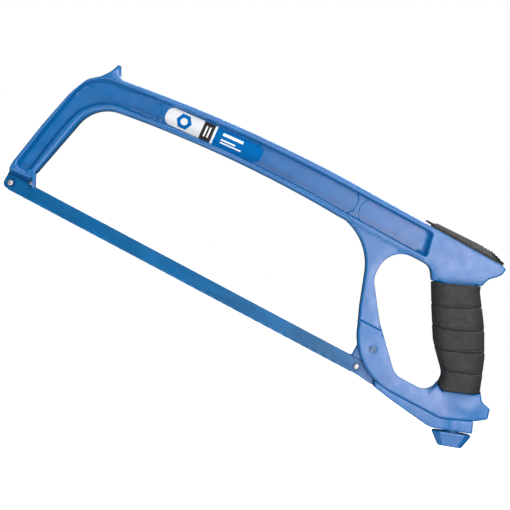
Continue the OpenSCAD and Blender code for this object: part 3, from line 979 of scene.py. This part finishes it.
def build_badge(inks):
    """Label with plain generic shapes: a nut, a band and bars. Each shape is its own patch of the mesh."""
    loop = rings(fine(cut_loops("badge", -2.65)[0], 0.8), [0.55])
    start = np.array(BADGE_START)
    along, up = turned(BADGE_LEAN), turned(BADGE_LEAN + 90)

    def spot(u, v):
        return start + along * u + up * v

    def bar(u0, u1, v0, v1):
        return np.array([spot(u0, v0), spot(u1, v0), spot(u1, v1), spot(u0, v1)])

    nut = np.array([spot(15.6 + 6.3 * math.cos(a), 6.3 * math.sin(a))
                    for a in np.radians(np.arange(0, 360, 60))])
    shapes = [("ink_blue", nut), ("silver", circle(spot(15.6, 0), 2.8, 28)),
              ("ink_black", bar(30.4, 39.6, -30, 30)), ("ink_white", bar(40.6, 41.4, -30, 30)),
              ("ink_blue", bar(41.4, 90, -30, 30)),
              ("ink_white", bar(33.0, 34.2, -4.2, 4.2)), ("ink_white", bar(35.8, 37.0, -4.2, 4.2)),
              ("ink_white", bar(47, 64, 2.3, 4.5)), ("ink_white", bar(47, 59, -1.6, -0.5)),
              ("ink_white", bar(47, 64.5, -3.8, -2.7))]
    names = ["silver", "ink_blue", "ink_black", "ink_white"]
    loops = [loop] + [shape for _, shape in shapes]
    found, faces = triangulated(loops, [], lambda p: inside_by(p, loop) > 0)
    middle = found[faces].mean(1)
    shown = np.zeros(len(faces), int)
    for name, shape in shapes:
        shown[inside_by(middle, shape) > 0] = names.index(name)
    count = len(found)
    piece = slab("label", found, faces, [np.full(count, y) for y in (BADGE_NEAR, BADGE_FAR)])
    for name in names:
        piece.data.materials.append(inks[name])
    for polygon, number in zip(piece.data.polygons, shown):
        polygon.material_index = int(number)
    return piece


# ---- materials ----

class Finish:
    """A node material built up step by step, in object coordinates so that it has no seams."""

    def __init__(self, name, rough, metal=0.0, specular=0.5):
        self.material = bpy.data.materials.new(name)
        self.material.use_nodes = True
        self.nodes = self.material.node_tree.nodes
        self.links = self.material.node_tree.links
        self.shader = self.nodes["Principled BSDF"]
        self.shader.inputs["Roughness"].default_value = rough
        self.shader.inputs["Metallic"].default_value = metal
        self.shader.inputs["Specular IOR Level"].default_value = specular
        self.where = self.nodes.new("ShaderNodeTexCoord").outputs["Object"]

    def node(self, kind, values, links):
        """A new node, some of its inputs set to values and some linked to other nodes' outputs."""
        item = self.nodes.new("ShaderNode" + kind)
        for name, value in values.items():
            item.inputs[name].default_value = value
        for name, output in links.items():
            self.links.new(output, item.inputs[name])
        return item

    def noise(self, scale, detail=3.0, stretch=None):
        source = self.where
        if stretch:
            source = self.node("Mapping", {"Scale": stretch}, {"Vector": source}).outputs["Vector"]
        cloud = self.node("TexNoise", {"Scale": scale, "Detail": detail}, {"Vector": source})
        return cloud.outputs["Fac"]

    def spread(self, value, low, high, at=(0.35, 0.65)):
        ends = {"From Min": at[0], "From Max": at[1], "To Min": low, "To Max": high}
        return self.node("MapRange", ends, {"Value": value}).outputs["Result"]

    def mixed(self, value, a, b):
        mix = self.nodes.new("ShaderNodeMix")
        mix.data_type = "RGBA"
        self.links.new(value, mix.inputs["Factor"])
        for side, colour in (("A", a), ("B", b)):
            if isinstance(colour, tuple):
                mix.inputs[side].default_value = (*colour, 1)
            else:
                self.links.new(colour, mix.inputs[side])
        return mix.outputs["Result"]

    def colour(self, output):
        if isinstance(output, tuple):
            self.shader.inputs["Base Color"].default_value = (*output, 1)
        else:
            self.links.new(output, self.shader.inputs["Base Color"])

    def rough(self, output):
        self.links.new(output, self.shader.inputs["Roughness"])

    def bumps(self, heights, strength, distance):
        """Bumps from several heights, one after the other."""
        before = {}
        for height in heights:
            size = {"Strength": strength, "Distance": distance}
            before = {"Normal": self.node("Bump", size, {"Height": height, **before}).outputs["Normal"]}
        self.links.new(before["Normal"], self.shader.inputs["Normal"])


def shade(colour, share):
    return tuple(c * share for c in colour)


def paint(name, colour, rough=0.32, peel=0.3, specular=0.56):
    """Powder coat: even colour, a fine orange peel and faint cloudiness."""
    finish = Finish(name, rough, specular=specular)
    finish.shader.inputs["Specular Tint"].default_value = (0.98, 0.86, 1.0, 1)
    cloud = finish.spread(finish.noise(38, 4), 0, 1)
    finish.colour(finish.mixed(cloud, shade(colour, 0.93), shade(colour, 1.06)))
    finish.rough(finish.spread(finish.noise(120, 3), rough - 0.03, rough + 0.04))
    finish.bumps([finish.noise(700, 1)], peel, 0.00008)
    return finish.material


def lacquer(name, colour):
    """Thin lacquer on spring steel, a little uneven along the blade."""
    finish = Finish(name, 0.28, specular=0.25)
    patches = finish.spread(finish.noise(26, 5, (1, 1, 3)), 0, 1)
    base = finish.mixed(patches, shade(colour, 0.8), shade(colour, 1.15))
    specks = finish.spread(finish.noise(900, 2), 0, 1, (0.66, 0.74))
    finish.colour(finish.mixed(specks, base, shade(colour, 0.55)))
    finish.rough(finish.spread(finish.noise(200, 3, (0.2, 1, 1)), 0.26, 0.34))
    finish.bumps([finish.noise(500, 2, (0.15, 1, 1))], 0.2, 0.00003)
    return finish.material


def steel(name, colour, rough):
    finish = Finish(name, rough, metal=1.0)
    finish.colour(finish.mixed(finish.spread(finish.noise(300, 3), 0, 1), shade(colour, 0.85), colour))
    finish.rough(finish.spread(finish.noise(1500, 2), rough - 0.06, rough + 0.08))
    finish.bumps([finish.noise(2200, 2)], 0.12, 0.00002)
    return finish.material


def rubber(name, colour, rough=0.6, specular=0.3):
    finish = Finish(name, rough, specular=specular)
    cloud = finish.spread(finish.noise(90, 4), 0, 1)
    finish.colour(finish.mixed(cloud, shade(colour, 0.85), shade(colour, 1.15)))
    finish.rough(finish.spread(finish.noise(260, 3), rough - 0.06, rough + 0.08))
    finish.bumps([finish.noise(1600, 3), finish.noise(420, 2)], 0.35, 0.00008)
    return finish.material


def ink(name, colour, rough=0.12, metal=0.0):
    finish = Finish(name, rough, metal=metal, specular=0.2)
    finish.colour(finish.mixed(finish.spread(finish.noise(60, 3), 0, 1), shade(colour, 0.95), colour))
    finish.bumps([finish.noise(1200, 2)], 0.04, 0.00001)
    return finish.material


BLUE = (0.001, 0.111, 0.318)
BLADE_BLUE = (0.001, 0.095, 0.255)
cast_blue = paint("casting_blue", BLUE)
# Painted shade: a darker, duller copy of the casting's paint for the shaded seat behind the blade
seat_painted_shade = paint("seat_painted_shade", (0.001, 0.06, 0.19), specular=0.15)
lever_blue = paint("lever_blue", BLUE, specular=0.42)
knob_blue = paint("knob_blue", BLUE, 0.36)
blade_blue = lacquer("blade_lacquer", BLADE_BLUE)
bright_steel = steel("bright_steel", (0.46, 0.44, 0.44), 0.42)
pivot_steel = steel("pivot_steel", (0.13, 0.19, 0.32), 0.55)
screw_steel = steel("screw_steel", (0.46, 0.46, 0.47), 0.34)
bronze = steel("bush_bronze", (0.62, 0.42, 0.2), 0.38)
grip_rubber = rubber("grip_rubber", (0.021, 0.021, 0.021))
pad_rubber = rubber("pad_rubber", (0.044, 0.044, 0.045), 0.55)
# Painted shade: a darker, less glossy copy of the pad rubber for the shadow between the ribs
rib_painted_shade = rubber("rib_painted_shade", (0.014, 0.014, 0.014), 0.5, 0.08)
black_plastic = rubber("black_plastic", (0.02, 0.02, 0.02), 0.5)
inks = {
    "silver": ink("silver", (0.69, 0.7, 0.70), 0.3),
    "ink_blue": ink("ink_blue", (0.001, 0.118, 0.37)),
    "ink_black": ink("ink_black", (0.03, 0.027, 0.027)),
    "ink_white": ink("ink_white", (0.88, 0.89, 0.9)),
}

# ---- the pieces ----

PIECES = [
    # how it is built, the CAD nodes that it replaces, its body, its slot
    (lambda: build_casting(cast_blue, seat_painted_shade), ["frame_casting"], "frame", "casting_paint"),
    (lambda: build_tab(cast_blue), [], "frame", "casting_paint"),
    (lambda: build_lever(lever_blue), ["tension_lever"], "lever", "lever_paint"),
    (lambda: build_knob(knob_blue), ["tension_knob"], "knob", "knob_paint"),
    (lambda: build_blade(blade_blue), ["blade"], "blade", "blade_paint"),
    (lambda: build_screw(screw_steel), ["tension_screw"], "knob", "screw_steel"),
    (lambda: build_pivot_pin(pivot_steel), ["pivot_pin"], "frame", "peg_steel"),
    (lambda: build_peg("front_peg", "front_blade_pin", 0.6, bright_steel, PEG_HEAD_R), ["front_blade_pin"],
     "frame", "peg_steel"),
    (lambda: build_peg("stop_peg", "front_stop_peg", 0.3, bright_steel), ["front_stop_peg"],
     "frame", "peg_steel"),
    (lambda: build_peg("rear_peg", "rear_blade_pin", 0.6, bright_steel, PEG_HEAD_R), ["rear_blade_pin"],
     "lever", "peg_steel"),
    (lambda: build_grip(grip_rubber), ["grip_sleeve"], "frame", "grip_rubber"),
    (lambda: build_pad(pad_rubber, rib_painted_shade), ["thumb_pad"], "frame", "pad_rubber"),
    (lambda: build_badge(inks), ["badge"], "frame", "badge_print"),
]
KEPT_NODES = {
    "pivot_bush": bronze, "pivot_washers": bronze, "thrust_washer": pivot_steel, "thrust_saddle": knob_blue,
    "screw_insert": screw_steel, "screw_tip_ring": screw_steel, "knob_roll_pin": screw_steel,
    "grip_liner": black_plastic, "thumb_pad_carrier": black_plastic, "thumb_pad_screws": screw_steel,
}
for build, nodes, body, slot_name in PIECES:
    piece = build()
    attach(piece, body)
    if nodes:
        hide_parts(*nodes)
for node, material in KEPT_NODES.items():
    mesh = frame["nodes"][node].data
    mesh.materials.clear()
    mesh.materials.append(material)


# ---- stage ----

def add_camera():
    """At the photograph's angle: square to the saw's side, rolled so that the blade runs down and right."""
    camera = bpy.data.cameras.new("camera")
    camera.sensor_width = 36
    distance, width = 1.4, 0.3931
    camera.lens = camera.sensor_width * distance / width
    item = add_object("camera", camera)
    item.location = Vector(placed([191.6, 0, 39.1])) + Vector((0, -distance, 0))
    item.rotation_euler = (Matrix.Rotation(math.radians(-28), 4, "Y")
                           @ Matrix.Rotation(math.radians(90), 4, "X")).to_euler()
    bpy.context.scene.camera = item


def add_floor():
    size, z = 12.0, cad_box[0].z - 0.05
    mesh = bpy.data.meshes.new("floor")
    corners = [(-size, -size, z), (size, -size, z), (size, size, z), (-size, size, z)]
    mesh.from_pydata(corners, [], [(0, 1, 2, 3)])
    paper = Finish("paper", 0.9, specular=0.0)
    paper.colour((0.9, 0.9, 0.9))
    mesh.materials.append(paper.material)
    item = add_object("floor", mesh)
    item.visible_glossy = False
    item.visible_diffuse = False
    item.visible_shadow = False


def add_world():
    """White where the camera sees it; as light, dim near the horizon and bright overhead."""
    world = bpy.data.worlds.new("world")
    bpy.context.scene.world = world
    world.use_nodes = True
    nodes, links = world.node_tree.nodes, world.node_tree.links
    nodes.clear()
    output, seen, room, path, mix, where, split, span, ramp = (
        nodes.new("ShaderNode" + kind) for kind in
        ("OutputWorld", "Background", "Background", "LightPath", "MixShader", "TexCoord", "SeparateXYZ",
         "MapRange", "ValToRGB"))
    seen.inputs["Color"].default_value = (1, 1, 1, 1)
    span.inputs["From Min"].default_value = -1
    stops = ramp.color_ramp.elements
    stops.new(0.56)
    stops.new(0.38)
    for stop, (position, level) in zip(stops, ((0.05, 0.6), (0.40, 0.06), (0.56, 0.06), (0.95, 0.6))):
        stop.position = position
        stop.color = (level, level, level, 1)
    links.new(where.outputs["Generated"], split.inputs[0])
    links.new(split.outputs["Z"], span.inputs["Value"])
    links.new(span.outputs["Result"], ramp.inputs["Fac"])
    links.new(ramp.outputs["Color"], room.inputs["Color"])
    links.new(path.outputs["Is Camera Ray"], mix.inputs["Fac"])
    links.new(room.outputs[0], mix.inputs[1])
    links.new(seen.outputs[0], mix.inputs[2])
    links.new(mix.outputs[0], output.inputs["Surface"])


LIT = (-0.1, 0, 0)     # what the lamps point at


def add_lights():
    """Soft light from above, and large lamps whose reflections make the paint's highlights."""
    sun = bpy.data.lights.new("sun", "SUN")
    sun.energy = 2.6
    sun.angle = math.radians(50)
    add_object("sun", sun)
    for name, at, size, power in (
        ("key", (0.25, -1.45, 0.14), (0.45, 0.65), 12.0),
        ("upper", (0.0, -1.3, 0.8), (1.6, 0.4), 10.5),
        ("lower", (0.0, -1.1, -1.0), (1.6, 0.4), 11.5),
        ("left", (-1.25, -0.9, -0.15), (0.5, 0.6), 2.0),
        ("back", (-0.3, 1.1, 1.3), (0.9, 0.8), 30),
    ):
        light = bpy.data.lights.new(name, "AREA")
        light.shape = "RECTANGLE"
        light.size, light.size_y = size
        light.energy = power
        lamp = add_object(name, light)
        lamp.location = at
        lamp.rotation_euler = (Vector(LIT) - Vector(at)).to_track_quat("-Z", "Y").to_euler()


bpy.context.scene.view_settings.view_transform = "Standard"
add_camera()
add_floor()
add_world()
add_lights()
